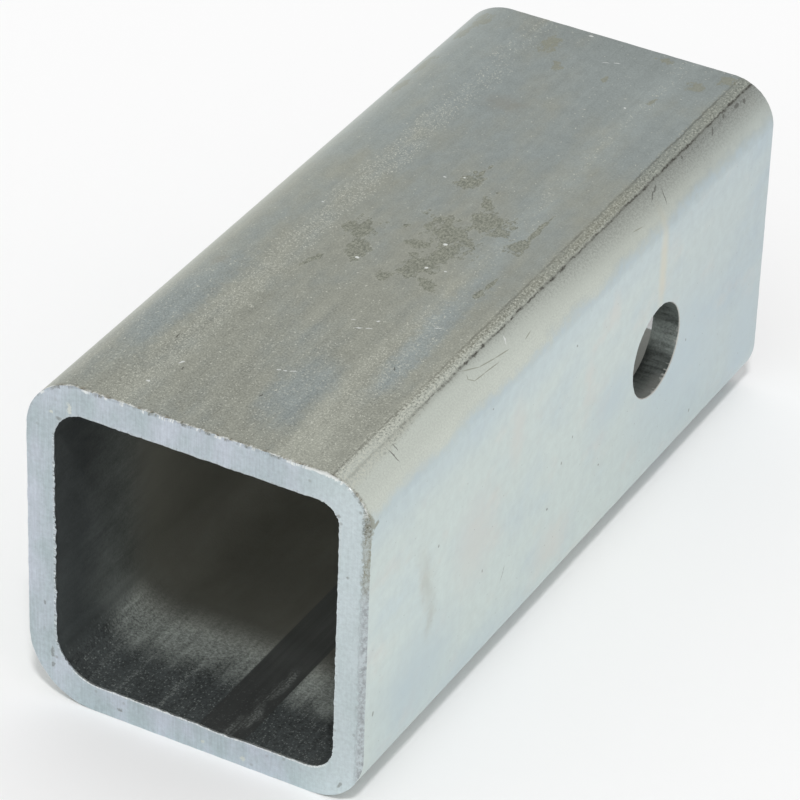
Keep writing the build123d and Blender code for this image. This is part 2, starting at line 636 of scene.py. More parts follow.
# Marks, in mm: place round the tube from the middle of the top, place along it from the sawn front, half
# length and half width, and a turn in degrees. Those on the front's face have their x and z for a place.

STAINS = (
    (6.6, 72.2, 5.6, 2.9, -38),
    (8.4, 67.0, 3.2, 2.0, 80),
    (6.6, 61.6, 4.6, 2.4, 80),
    (2.9, 67.1, 1.9, 1.2, 10),
    (10.4, 79.5, 3.6, 3.0, -30),
    (7.3, 84.2, 2.2, 0.9, -55),
    (14.0, 77.2, 2.6, 0.7, -15),
    (18.0, 75.2, 2.5, 1.5, 88),
    (18.4, 82.5, 4.2, 0.45, 90),
    (0.8, 89.4, 2.5, 1.8, 80),
    (1.3, 92.8, 2.4, 0.4, 85),
    (-7.5, 66.6, 2.9, 2.3, 60),
    (-4.7, 60.4, 3.4, 1.7, -65),
    (3.2, 55.2, 2.0, 1.1, -50),
    (10.8, 56.5, 2.5, 1.1, -30),
    (-9.8, 53.3, 2.1, 0.7, 65),
    (19.1, 58.7, 1.4, 0.9, 90),
    (19.6, 62.5, 2.2, 0.35, 88),
    (-1.5, 71.2, 0.9, 0.8, 0),
    (6.6, 88.8, 0.8, 0.35, 20),
)

TAN_PATCHES = (
    (-10.0, 139.0, 2.8, 1.6, 85),
    (-5.3, 133.5, 1.9, 0.8, -60),
    (4.5, 133.4, 1.0, 0.5, 90),
    (15.3, 131.2, 1.3, 0.6, 80),
    (19.7, 139.4, 1.8, 1.6, 0),
    (10.8, 145.3, 1.2, 0.8, 0),
    (-24.9, 141.4, 2.6, 1.6, 90),
    (-25.9, 136.5, 2.1, 1.3, 90),
    (-26.6, 122.3, 3.0, 1.3, 90),
    (-26.5, 114.0, 3.0, 1.1, 90),
    (23.2, 144.6, 1.5, 1.7, 0),
)

CHIPS = (
    (7.1, 69.4, 0.5, 0.4, 30),
    (7.9, 61.2, 0.4, 0.32, 60),
    (-3.4, 58.1, 0.5, 0.4, 0),
    (-17.3, 70.6, 0.3, 0.25, 0),
    (-3.6, 88.7, 0.35, 0.25, 0),
    (-0.5, 90.2, 0.4, 0.25, 0),
    (11.2, 61.9, 0.3, 0.25, 0),
    (-11.7, 15.3, 0.7, 0.25, 60),
    (-13.5, 8.0, 0.4, 0.35, 0),
    (12.1, 126.2, 0.35, 0.3, 0),
    (-4.8, 146.2, 0.5, 0.4, 0),
    (9.1, 42.7, 0.5, 0.14, 25),
    (5.4, 41.0, 0.6, 0.12, 25),
    (2.6, 21.6, 0.5, 0.2, 25),
    (3.7, 22.0, 0.4, 0.18, 25),
    (4.9, 22.5, 0.7, 0.14, 25),
    (7.4, 39.2, 0.8, 0.18, 25),
    (9.0, 39.9, 0.7, 0.14, 25),
    (18.5, 46.0, 0.8, 0.14, 25),
    (2.0, 138.9, 0.9, 0.14, 20),
    (3.7, 139.7, 0.8, 0.14, 20),
    (28.7, 50.9, 1.1, 0.16, -40),
)

CRACKS = (
    (28.1, 129.3, 1.4, 0.25, -55),
    (28.3, 106.3, 1.4, 0.22, -70),
    (28.9, 104.6, 1.7, 0.18, -60),
    (30.2, 107.2, 2.0, 0.14, -25),
    (27.9, 139.5, 1.2, 0.5, -80),
    (28.3, 142.0, 0.8, 0.4, -60),
    (27.7, 134.6, 0.9, 0.3, -75),
    (27.6, 118.0, 0.7, 0.25, -70),
    (29.4, 12.75, 1.7, 0.14, 3),
    (28.6, 14.2, 0.9, 0.14, 0),
    (-10.7, 13.8, 0.6, 0.17, 90),
    (4.0, 13.8, 0.6, 0.17, 90),
    (18.3, 31.7, 0.8, 0.17, -60),
    (-16.4, 21.7, 0.8, 0.17, 90),
)

HAIRS = (
    (29.95, 48.1, 2.7, 0.13, 82),
    (29.3, 44.0, 3.2, 0.13, 80),
    (28.2, 40.0, 2.6, 0.13, 68),
    (30.4, 44.0, 3.2, 0.11, 85),
    (30.1, 40.2, 2.2, 0.11, 85),
    (29.5, 38.2, 1.1, 0.11, 50),
    (28.8, 37.9, 0.6, 0.11, -35),
    (31.2, 95.9, 2.0, 0.11, 80),
    (30.8, 56.2, 1.5, 0.11, 100),
)

SPECKS = (
    (41.1, 71.5, 0.4, 0.25, 60),
    (69.8, 63.4, 0.5, 0.3, 60),
    (71.8, 82.8, 0.45, 0.25, 60),
    (81.6, 119.7, 0.45, 0.3, 0),
    (36.5, 41.2, 0.45, 0.3, 30),
    (68.3, 40.1, 0.35, 0.25, 0),
    (59.7, 71.7, 0.35, 0.25, 0),
    (63.0, 68.0, 0.35, 0.25, 0),
    (64.4, 115.9, 0.35, 0.25, 0),
    (53.5, 24.0, 0.35, 0.25, 0),
    (74.1, 3.4, 0.6, 0.4, 0),
    (73.5, 47.6, 2.2, 0.1, 155),
)

WARM_PATCHES = (
    (42.1, 85.8, 4.0, 2.4, 0),
    (51.5, 77.2, 5.0, 2.2, 0),
    (78.1, 65.5, 5.0, 8.0, 0),
    (46.9, 50.6, 7.0, 3.0, 0),
    (60.0, 37.0, 10.0, 8.0, 0),
)

RUST_CLOUDS = (
    (-6.7, 116.3, 4.5, 3.4, 0),
    (-22.5, 45.5, 1.6, 1.8, 0),
)

DRIPS = (
    (42.0, 104.1, 10.5, 1.6, 0),
)

TOP_BLUE_PATCHES = (
    (-22.0, 32.0, 4.0, 34.0, 0),
    (18.6, 42.0, 2.6, 22.0, 0),
    (12.0, 141.0, 13.0, 8.0, 0),
    (9.0, 19.0, 5.0, 12.0, 0),
)

BLUE_PATCHES = (
    (78.0, 142.0, 16.0, 9.0, 0),
    (60.5, 87.0, 6.0, 10.0, 10),
    (68.0, 114.0, 16.0, 20.0, 0),
    (76.0, 18.0, 12.0, 14.0, 0),
    (85.0, 36.0, 6.0, 20.0, 0),
)

SMEARS = (
    (58.0, 20.2, 7.5, 1.9, 14),
    (66.0, 22.0, 4.0, 1.6, -12),
)

FACE_SPECKS = (
    (-27.2, -22.7, 1.1, 0.45, 90),
    (-27.1, -25.3, 0.8, 0.4, 80),
    (-25.6, 24.6, 0.6, 0.4, 0),
    (-28.6, -13.0, 0.5, 0.3, 90),
    (26.2, 24.6, 0.5, 0.4, 0),
    (28.2, 13.5, 0.4, 0.35, 0),
    (27.8, -28.2, 0.9, 0.35, 60),
    (-14.0, -29.6, 0.7, 0.4, 0),
)

FACE_BLOBS = (
    (9.6, -30.0, 0.7, 0.55, 20),
    (1.9, -29.7, 0.5, 0.35, 0),
    (-23.5, 27.2, 1.4, 0.5, 90),
    (-27.0, 25.5, 0.5, 0.4, 0),
)

FRONT_DIRT = (
    (35.6, 0.7, 2.6, 1.2, 0),
    (36.3, 2.3, 1.3, 0.5, -70),
    (41.0, 0.4, 5.0, 0.6, 0),
)


class Finish:
    """A material, laid out node by node round one shader."""

    def __init__(self, name):
        self.material = bpy.data.materials.new(name)
        self.material.use_nodes = True
        self.tree = self.material.node_tree
        self.tree.nodes.clear()
        output = self.tree.nodes.new("ShaderNodeOutputMaterial")
        self.shader = self.tree.nodes.new("ShaderNodeBsdfPrincipled")
        self.tree.links.new(self.shader.outputs["BSDF"], output.inputs["Surface"])

    def feed(self, socket, value):
        """Links a socket to another node's output, or sets its value."""
        if isinstance(value, bpy.types.NodeSocket):
            self.tree.links.new(value, socket)
        elif socket.type == "RGBA":
            socket.default_value = (*value[:3], 1.0)
        else:
            socket.default_value = value

    def set(self, **values):
        """Sets inputs of the shader, with _ for a space in their names."""
        for name, value in values.items():
            self.feed(self.shader.inputs[name.replace("_", " ")], value)

    def math(self, operation, *values):
        """The result of a sum on plain values."""
        node = self.tree.nodes.new("ShaderNodeMath")
        node.operation = operation
        for socket, value in zip(node.inputs, values):
            self.feed(socket, value)
        return node.outputs[0]

    def total(self, first, *others):
        """All values added up."""
        for other in others:
            first = self.math("ADD", first, other)
        return first

    def times(self, first, *others):
        """All values multiplied."""
        for other in others:
            first = self.math("MULTIPLY", first, other)
        return first

    def most(self, first, *others):
        """The largest of some values."""
        for other in others:
            first = self.math("MAXIMUM", first, other)
        return first

    def apart(self, value, middle):
        """How far a value is from a middle one."""
        return self.math("ABSOLUTE", self.total(value, -middle))

    def vector(self, operation, first, second=None, third=None, scale=None):
        """The result of a sum on places or colours."""
        node = self.tree.nodes.new("ShaderNodeVectorMath")
        node.operation = operation
        for socket, value in zip(node.inputs, (first, second, third)):
            if value is not None:
                self.feed(socket, value)
        if scale is not None:
            self.feed(node.inputs["Scale"], scale)
        return node.outputs["Value" if operation == "LENGTH" else "Vector"]

    def split(self, vector):
        """The three parts of a place or a colour."""
        node = self.tree.nodes.new("ShaderNodeSeparateXYZ")
        self.feed(node.inputs[0], vector)
        return node.outputs

    def join(self, x, y, z=0.0):
        """A place from its three parts."""
        node = self.tree.nodes.new("ShaderNodeCombineXYZ")
        for socket, value in zip(node.inputs, (x, y, z)):
            self.feed(socket, value)
        return node.outputs[0]

    def unrolled(self):
        """Place on the unrolled skin, in mm."""
        node = self.tree.nodes.new("ShaderNodeUVMap")
        node.uv_map = "Unrolled"
        return node.outputs[0]

    def place(self):
        """Place in the tube's own frame, in mm."""
        node = self.tree.nodes.new("ShaderNodeTexCoord")
        return self.vector("SCALE", node.outputs["Object"], scale=1 / MM)

    def stretched(self, place, scale, shift=(0.0, 0.0, 0.0)):
        """A place scaled by its parts and shifted. A small scale draws what is laid on it out."""
        node = self.tree.nodes.new("ShaderNodeMapping")
        self.feed(node.inputs["Vector"], place)
        node.inputs["Scale"].default_value = scale
        node.inputs["Location"].default_value = shift
        return node.outputs[0]

    def noise(self, place, scale, detail, roughness, output="Fac"):
        """Soft random values about 0.5, or colours."""
        node = self.tree.nodes.new("ShaderNodeTexNoise")
        self.feed(node.inputs["Vector"], place)
        node.inputs["Scale"].default_value = scale
        node.inputs["Detail"].default_value = detail
        node.inputs["Roughness"].default_value = roughness
        return node.outputs[output]

    def jitter(self, place, scale, detail, roughness):
        """Random steps on the unrolled skin, about 0."""
        steps = self.noise(place, scale, detail, roughness, output="Color")
        return self.vector("MULTIPLY", self.vector("SUBTRACT", steps, (0.5, 0.5, 0.5)), (1.0, 1.0, 0.0))

    def moved(self, place, steps, reach):
        """A place moved by random steps."""
        return self.vector("ADD", place, self.vector("SCALE", steps, scale=reach))

    def dots(self, place, scale, share, size):
        """Small round dots, one in some cells of a random net, each with a strength of its own.

        share is the part of the cells that have one, and size is against the size of a cell."""
        node = self.tree.nodes.new("ShaderNodeTexVoronoi")
        node.voronoi_dimensions = "2D"
        self.feed(node.inputs["Vector"], place)
        node.inputs["Scale"].default_value = scale
        chance, strength, _ = self.split(node.outputs["Color"])
        there = self.math("LESS_THAN", chance, share)
        round_dot = self.ease(node.outputs["Distance"], size, size * 0.4)
        return self.times(round_dot, there, self.math("POWER", strength, 1.25))

    def ease(self, value, low, high, start=0.0, end=1.0):
        """A soft step from start to end as value goes from low to high."""
        node = self.tree.nodes.new("ShaderNodeMapRange")
        node.interpolation_type = "SMOOTHSTEP"
        for name, number in (("From Min", low), ("From Max", high), ("To Min", start), ("To Max", end)):
            self.feed(node.inputs[name], number)
        self.feed(node.inputs["Value"], value)
        return node.outputs["Result"]

    def within(self, value, low, high, soft):
        """1 between low and high, and 0 outside, with soft borders."""
        rise = self.ease(value, low - soft, low + soft)
        return self.times(rise, self.ease(value, high + soft, high - soft))

    def blend(self, share, first, second):
        """A share of the second colour over the first."""
        node = self.tree.nodes.new("ShaderNodeMix")
        node.data_type = "RGBA"
        self.feed(node.inputs[0], share)
        self.feed(node.inputs[6], first)
        self.feed(node.inputs[7], second)
        return node.outputs[2]

    def shade(self, tint, level):
        """A colour made lighter or darker."""
        return self.vector("SCALE", tint, scale=level)

    def marks(self, place, marks):
        """Height of the tallest of some cones: 1 in the middle of a mark, 0 on its border, less outside."""
        trace = (1e-9, 1e-9, 1e-9)
        nearest = None
        chained = place
        for around, along, half_length, half_width, turn in marks:
            node = self.tree.nodes.new("ShaderNodeMapping")
            node.vector_type = "TEXTURE"
            self.feed(node.inputs["Vector"], chained)
            node.inputs["Location"].default_value = (around, along, 0.0)
            node.inputs["Rotation"].default_value = (0.0, 0.0, math.radians(turn))
            node.inputs["Scale"].default_value = (half_length, half_width, 1.0)
            distance = self.vector("LENGTH", node.outputs[0])
            nearest = distance if nearest is None else self.math("MINIMUM", distance, nearest)
            # A trace of the last result makes Cycles take the marks one by one, so that its stack suffices
            chained = self.vector("MULTIPLY_ADD", nearest, trace, third=place)
        return self.math("SUBTRACT", 1.0, nearest)

    def bump(self, height, distance):
        """Fine relief, distance mm deep."""
        node = self.tree.nodes.new("ShaderNodeBump")
        self.feed(node.inputs["Height"], height)
        node.inputs["Distance"].default_value = distance * MM
        node.inputs["Strength"].default_value = 1.0
        self.tree.links.new(node.outputs[0], self.shader.inputs["Normal"])


def zinc_plate(finish, skin, around, along, colours):
    """Pale plate of the sides, with soft blue and warm clouds. It is bluer and darker towards the far end."""
    cloud = finish.noise(finish.stretched(skin, (1.0, 0.6, 1.0), (31.0, 5.0, 0.0)), 0.06, 4, 0.6)
    warm_cloud = finish.noise(finish.stretched(skin, (1.0, 0.7, 1.0), (3.0, 57.0, 0.0)), 0.11, 5, 0.6)
    mottle = finish.noise(skin, 0.45, 6, 0.66)
    drawn = finish.noise(finish.stretched(skin, (1.0, 0.025, 1.0)), 1.1, 2, 0.6)
    blue = finish.total(finish.ease(cloud, 0.45, 0.8, 0.0, 0.55), finish.ease(along, 70.0, 150.0, 0.0, 0.35))
    tint = finish.blend(blue, colours.zinc, colours.zinc_blue)
    tint = finish.blend(finish.ease(warm_cloud, 0.52, 0.75, 0.0, 0.5), tint, colours.warm_zinc_and_light)

    # A bluish band below the top right corner
    band = finish.total(around, finish.times(mottle, 3.0), finish.times(cloud, 8.0), -5.5)
    band = finish.times(finish.ease(band, 33.0, 36.0), finish.ease(band, 44.0, 37.0))
    band = finish.times(band, finish.ease(along, 140.0, 60.0, 0.25, 0.42))
    tint = finish.blend(band, tint, colours.zinc_blue)
    level = finish.total(
        finish.times(finish.within(around, 48.0, 70.0, 6.0), finish.ease(along, 45.0, 10.0, 0.0, 0.035)),
        finish.ease(mottle, 0.25, 0.75, 0.945, 1.055),
        finish.ease(drawn, 0.2, 0.8, -0.012, 0.012),
        finish.ease(along, 60.0, 150.0, 0.0, -0.09),
    )
    return finish.shade(tint, level), mottle


def front_dirt(finish, skin, tint, colours):
    """Brown dirt on the outer skin, beside the upper part of the filed edge."""
    grime = finish.noise(skin, 1.4, 4, 0.7)
    patches = finish.total(finish.marks(skin, FRONT_DIRT), finish.times(grime, 2.6), -1.2)
    dirty = finish.ease(patches, 0.0, 0.5, 0.0, 0.75)
    brown = finish.shade(colours.tan, finish.ease(grime, 0.35, 0.65, 0.75, 1.05))
    return finish.blend(dirty, tint, brown), dirty, grime


class TopFinish(Finish):
    """The finish of the top and its rolled corners, with the places and the noises that its layers share."""

    def __init__(self, colours):
        super().__init__("zinc_top")
        self.colours = colours
        self.skin = self.unrolled()
        self.around, self.along, _ = self.split(self.skin)
        steps = self.jitter(self.skin, 0.7, 5, 0.68)
        self.nudged = self.moved(self.skin, steps, 1.0)
        self.strewn = self.moved(self.skin, steps, 1.6)
        self.ragged = self.moved(self.skin, steps, 5.0)
        self.near = self.ease(self.along, 95.0, 5.0)
        self.far = self.ease(self.along, 0.0, 125.0)
        self.grain = self.along_noise((1.0, 0.7), (0.0, 0.0), 3.4, 3, 0.7)
        self.coarse = self.along_noise((1.0, 0.55), (2.0, 8.0), 1.7, 4, 0.75)
        self.torn = self.along_noise((1.0, 0.65), (5.0, 3.0), 0.5, 6, 0.68)
        self.drawn = self.along_noise((1.0, 0.018), (0.0, 0.0), 1.2, 3, 0.6)
        self.crush = self.along_noise((1.0, 0.7), (9.0, 1.0), 2.6, 3, 0.8)
        self.streaky = self.along_noise((1.0, 0.12), (7.0, 0.0), 0.33, 4, 0.6)
        self.cloud = self.along_noise((1.0, 0.5), (11.0, 2.0), 0.09, 5, 0.6)

    def along_noise(self, stretch, shift, scale, detail, roughness):
        """Noise that is drawn out along the tube."""
        return self.noise(self.stretched(self.skin, (*stretch, 1.0), (*shift, 0.0)), scale, detail, roughness)

    def rubbed_plate(self):
        """Rubbed plate, blue-grey and olive, with bright flecks that are thick in two bands along the top."""
        around, along, near, colours = self.around, self.along, self.near, self.colours
        blue_patch = self.ease(self.marks(self.ragged, TOP_BLUE_PATCHES), -0.5, 0.8, 0.0, 0.22)
        front_right = self.times(self.within(around, 14.5, 24.0, 3.0), self.ease(along, 30.0, 4.0))
        olive = self.total(
            self.cloud,
            self.times(self.total(self.streaky, -0.5), 0.3),
            self.ease(along, 40.0, 130.0, 0.18, -0.15),
            self.times(blue_patch, -1.5),
            self.times(front_right, 0.25),
        )
        top = self.blend(self.ease(olive, 0.26, 0.74), colours.top_blue, colours.top_olive)
        banded = self.total(around, self.times(self.cloud, 5.0), self.times(self.drawn, 2.5), -3.75)
        level = self.total(
            self.ease(self.drawn, 0.25, 0.75, 0.985, 1.045),
            self.times(self.ease(self.grain, 0.2, 0.8, -0.34, 0.34), self.ease(near, 0.0, 1.0, 0.5, 1.0)),
            self.ease(self.torn, 0.25, 0.75, -0.07, 0.07),
            self.times(self.ease(self.streaky, 0.3, 0.7, -0.08, 0.08), self.ease(near, 0.0, 1.0, 0.15, 1.0)),
            self.times(self.within(banded, 12.5, 17.5, 1.6), 0.09),
            self.times(front_right, 0.13),
            self.times(self.ease(around, -12.0, -20.0), self.ease(along, 30.0, 110.0, 0.02, 0.09)),
            self.ease(along, 40.0, 10.0, 0.012, -0.03),
            self.ease(along, 134.0, 146.0, 0.0, -0.07),
        )
        top = self.shade(top, level)
        left_band = self.within(banded, -17.0, -11.8, 1.2)
        left_band = self.times(left_band, self.ease(along, 140.0, 90.0, 0.25, 1.0))
        right_band = self.times(
            self.ease(banded, 12.6, 14.4),
            self.ease(banded, self.ease(near, 0.2, 0.9, 17.0, 26.0), 15.5),
            self.ease(near, 0.3, 0.8, 0.22, 0.7),
        )
        bands = self.times(self.most(left_band, right_band), 0.8)
        thick = self.total(bands, self.times(near, near, 0.2), 0.02)
        fleck = self.dots(self.strewn, 3.3, thick, 0.55)
        fleck = self.times(fleck, self.ease(self.coarse, 0.4, 0.6, 0.6, 1.1))
        return self.blend(fleck, top, colours.fleck)

    def stains(self, top):
        """Stains with torn borders where the plate has lifted, tan patches and faint rust."""
        colours = self.colours
        tear = self.total(self.times(self.torn, 4.6), self.times(self.coarse, 1.8), -3.08)
        shape = self.total(self.marks(self.nudged, STAINS), tear)
        stain = self.ease(shape, -0.06, 0.22)
        grain = self.total(self.times(self.crush, 0.6), self.times(self.coarse, 0.4))
        tint = self.blend(self.ease(grain, 0.42, 0.6), colours.stain, colours.stain_pale)
        tint = self.shade(tint, self.ease(shape, 0.0, 0.5, 0.86, 1.0))
        top = self.blend(self.times(self.within(shape, -0.2, -0.04, 0.08), 0.14), top, colours.fleck)
        top = self.blend(self.times(stain, 0.85), top, tint)
        tan = self.ease(self.total(self.marks(self.nudged, TAN_PATCHES), tear), -0.1, 0.4)
        tan_tint = self.shade(colours.tan, self.ease(self.crush, 0.4, 0.6, 0.85, 1.08))
        top = self.blend(self.times(tan, 0.68), top, tan_tint)
        rust = self.ease(self.marks(self.ragged, RUST_CLOUDS), -0.3, 0.9, 0.0, 0.22)
        return self.blend(rust, top, colours.rust), stain, tan

    def filmed_side(self):
        """Pale plate of the sides, with a dull film below the right corner and a bluish line under it."""
        around, along, colours = self.around, self.along, self.colours
        side, mottle = zinc_plate(self, self.skin, around, along, colours)
        hem = self.total(around, self.times(self.cloud, 7.0), self.times(self.torn, 3.5), -5.25)
        inside_border = self.ease(around, 36.4, 35.0)
        film_end = self.ease(along, 50.0, 140.0, 36.0, 37.5)
        film_fade = self.ease(along, 50.0, 140.0, 33.4, 31.5)
        thin = self.ease(along, 95.0, 140.0, 1.0, 0.7)
        filmed = self.times(self.ease(hem, film_end, film_fade), inside_border, thin)
        side = self.blend(self.times(filmed, 0.92), side, colours.film)
        sunk = self.times(self.within(hem, 32.8, 36.2, 1.4), inside_border)
        level = self.total(
            self.times(sunk, self.ease(along, 0.0, 90.0, -0.04, -0.11)),
            self.times(filmed, self.ease(self.grain, 0.25, 0.75, -0.1, 0.1)),
            self.times(self.within(around, 28.0, 32.5, 1.0), 0.045),
            1.0,
        )
        side = self.shade(side, level)
        blue_line = self.times(
            self.within(hem, 33.8, 36.2, 1.2),
            inside_border,
            self.ease(along, 0.0, 60.0, 0.45, 1.0),
            self.ease(mottle, 0.35, 0.65, 0.25, 0.65),
        )
        side = self.blend(blue_line, side, colours.zinc_blue)
        drip = self.ease(self.marks(self.nudged, DRIPS), -0.4, 0.8)
        return self.blend(self.times(drip, 0.6), side, colours.drip)

    def top_over_side(self, top, side):
        """The rubbed top over the plate of the sides, with a crumbled right border and a soft left one."""
        along = self.along
        scatter = self.times(self.total(self.crush, -0.5), self.ease(along, 10.0, 70.0, 4.0, 3.0))
        shift = self.ease(along, 75.0, 15.0, -0.8, 0.7)
        right = self.ease(self.total(self.around, scatter, self.times(self.coarse, 1.6), shift), 27.2, 25.9)
        left = self.ease(self.total(self.around, self.ease(along, 45.0, 8.0, 0.0, 3.0)), -38.5, -18.5)
        return self.blend(self.times(left, right), side, top)

    def crushed_strip(self, tint, crumbled):
        """The crushed, speckled strip between the two die lines."""
        along, colours, crush = self.along, self.colours, self.crush
        ending = self.ease(along, 32.0, 4.0, 27.1, 28.7)
        ended = self.ease(crumbled, self.total(ending, 0.6), self.total(ending, -0.6))
        crushed = self.times(self.ease(crumbled, 23.9, 25.1), ended)
        tanned = self.total(self.ease(along, 7.0, 18.0, 0.12, 0.27), self.ease(along, 40.0, 140.0, 0.0, 0.18))
        tint = self.blend(self.times(crushed, tanned), tint, colours.tan)
        light = self.ease(crush, self.ease(self.far, 0.0, 0.5, 0.44, 0.52), 0.64)
        light = self.times(crushed, light, self.ease(self.far, 0.0, 1.0, 1.0, 0.68))
        tint = self.blend(light, tint, colours.fleck)
        pits = self.times(crushed, self.ease(crush, 0.47, 0.36), self.ease(along, 5.0, 20.0, 0.15, 0.45))
        return self.blend(pits, tint, colours.line)

    def die_line_dirt_and_shade(self, tint):
        """The strip on the right-hand corner, dirt in its two lines, and below them dirt that thins out,
        painted shade as well right under the lower line.
        """
        along, colours, crush, coarse, far = self.along, self.colours, self.crush, self.coarse, self.far
        torn = self.times(self.torn, 0.6)
        waver, breaks, gaps = self.split(self.noise(self.join(0.0, along), 0.16, 4, 0.6, output="Color"))
        strip = self.total(self.around, self.times(waver, 0.7), -0.35)
        crumbled = self.total(strip, self.times(coarse, 1.4), self.times(crush, 2.2), torn, -2.1)
        tint = self.crushed_strip(tint, crumbled)

        # Below the strip: a dark smear that is dirt and painted shade under the lower line, and grains strewn
        # over it
        # Painted shade: darkest right under the lower line and thinning out downwards, stronger towards the
        # far end; the same mark serves as dirt
        fall = self.math("POWER", self.ease(strip, self.ease(far, 0.0, 1.0, 29.5, 39.5), 26.7), 2.1)
        fall = self.times(fall, self.ease(crumbled, 26.4, 27.2))
        smudge_and_shade = self.times(fall, self.ease(along, 10.0, 140.0, 0.03, 0.56))
        tint = self.blend(smudge_and_shade, tint, colours.dirt)
        gathered = self.times(fall, self.ease(far, 0.0, 1.0, 0.08, 0.14))
        dusted = self.total(self.times(crush, 0.5), self.times(self.grain, 0.5), gathered)
        sprinkle = self.times(self.ease(dusted, 0.52, 0.7), fall, self.ease(along, 5.0, 20.0, 0.4, 1.0), 0.45)

        # The lines: the upper one thin and brown, the lower one dark and broken, and a short one below them
        upper_edge = self.total(strip, self.times(coarse, 0.6), self.times(self.torn, 0.4), -0.5)
        upper = self.times(
            self.ease(self.apart(upper_edge, UPPER_LINE), 0.3, 0.05),
            self.ease(breaks, 0.4, 0.56, 0.22, 0.68),
            self.ease(crush, 0.38, 0.55, 0.4, 1.0),
            self.ease(along, 60.0, 110.0, 0.8, 1.0),
        )
        lower_edge = self.total(strip, self.times(coarse, 0.9), self.times(crush, 0.7), torn, -1.1)
        dashes = self.noise(self.join(4.0, along), 0.45, 4, 0.7)
        lower = self.times(
            self.ease(self.apart(lower_edge, LOWER_LINE), self.ease(gaps, 0.3, 0.7, 0.52, 0.26), 0.0),
            self.ease(along, 10.0, 40.0, 0.3, 1.0),
            self.ease(crush, 0.36, 0.5, 0.55, 1.0),
            self.ease(dashes, 0.4, 0.56, self.ease(far, 0.5, 1.0, 0.5, 0.75), 1.2),
        )
        second = self.times(
            self.ease(self.apart(crumbled, SECOND_LINE), 0.4, 0.1),
            self.within(along, 116.0, 146.0, 4.0),
            self.ease(coarse, 0.42, 0.58),
            0.6,
        )
        cracks = self.times(self.ease(self.marks(self.nudged, CRACKS), 0.0, 0.4), 0.8)
        dark = self.most(upper, lower, second, cracks, sprinkle)
        tint = self.blend(self.times(dark, 0.85), tint, colours.line)
        hairs = self.times(self.ease(self.marks(self.skin, HAIRS), 0.0, 0.5), 0.65)
        return self.blend(hairs, tint, colours.tan), dark, smudge_and_shade

    def worn_edges(self, tint):
        """Bare chips and scratches, the sawn edge: grubby in places and bright in others, and a painted
        highlight on that edge at the right-hand corner.
        """
        around, along, colours, crush, coarse = self.around, self.along, self.colours, self.crush, self.coarse
        chips = self.ease(self.marks(self.nudged, CHIPS), 0.0, 0.45)
        edge_noise = self.noise(self.join(around, 0.0), 0.45, 4, 0.7)
        on_corner = self.times(self.within(around, 28.5, 40.0, 1.0), self.ease(crush, 0.4, 0.55, 0.75, 0.3))
        grubby = self.times(
            self.ease(self.total(along, self.times(coarse, -2.2)), 0.1, -0.7),
            self.most(self.ease(edge_noise, 0.42, 0.6, 0.1, 0.6), on_corner),
        )
        tint = self.blend(grubby, tint, self.blend(self.ease(crush, 0.42, 0.58), colours.line, colours.rust))
        worn = self.ease(self.total(along, self.times(coarse, -1.4)), 0.05, -0.25)
        worn = self.times(worn, self.ease(edge_noise, 0.58, 0.42))
        # Painted highlight: a bright streak along the front edge at the right-hand corner
        painted_glint = self.times(
            self.within(around, 20.5, 26.0, 0.8),
            self.ease(along, 0.55, 0.25),
            self.ease(edge_noise, 0.4, 0.5),
        )
        return self.blend(self.times(self.most(chips, worn, painted_glint), 0.85), tint, colours.bare_and_glint)


def zinc_top(colours):
    """The top and its rolled corners: rubbed, stained plate, with dirt in the two die lines."""
    finish = TopFinish(colours)
    top, stain, tan = finish.stains(finish.rubbed_plate())
    tint = finish.top_over_side(top, finish.filmed_side())
    tint, dark, smudge_and_shade = finish.die_line_dirt_and_shade(tint)
    tint, dirty, _ = front_dirt(finish, finish.skin, tint, colours)
    tint = finish.worn_edges(tint)
    matt = finish.most(finish.times(stain, 0.8), finish.times(tan, 0.5), dark, smudge_and_shade, dirty)
    finish.set(
        Base_Color=tint,
        Roughness=finish.total(finish.ease(finish.grain, 0.2, 0.8, 0.4, 0.52), finish.times(matt, 0.2)),
        Metallic=finish.ease(matt, 0.0, 1.0, 0.95, 0.4),
    )
    finish.bump(finish.total(finish.times(finish.grain, 0.7), finish.times(finish.coarse, 0.5)), 0.02)
    return finish.material


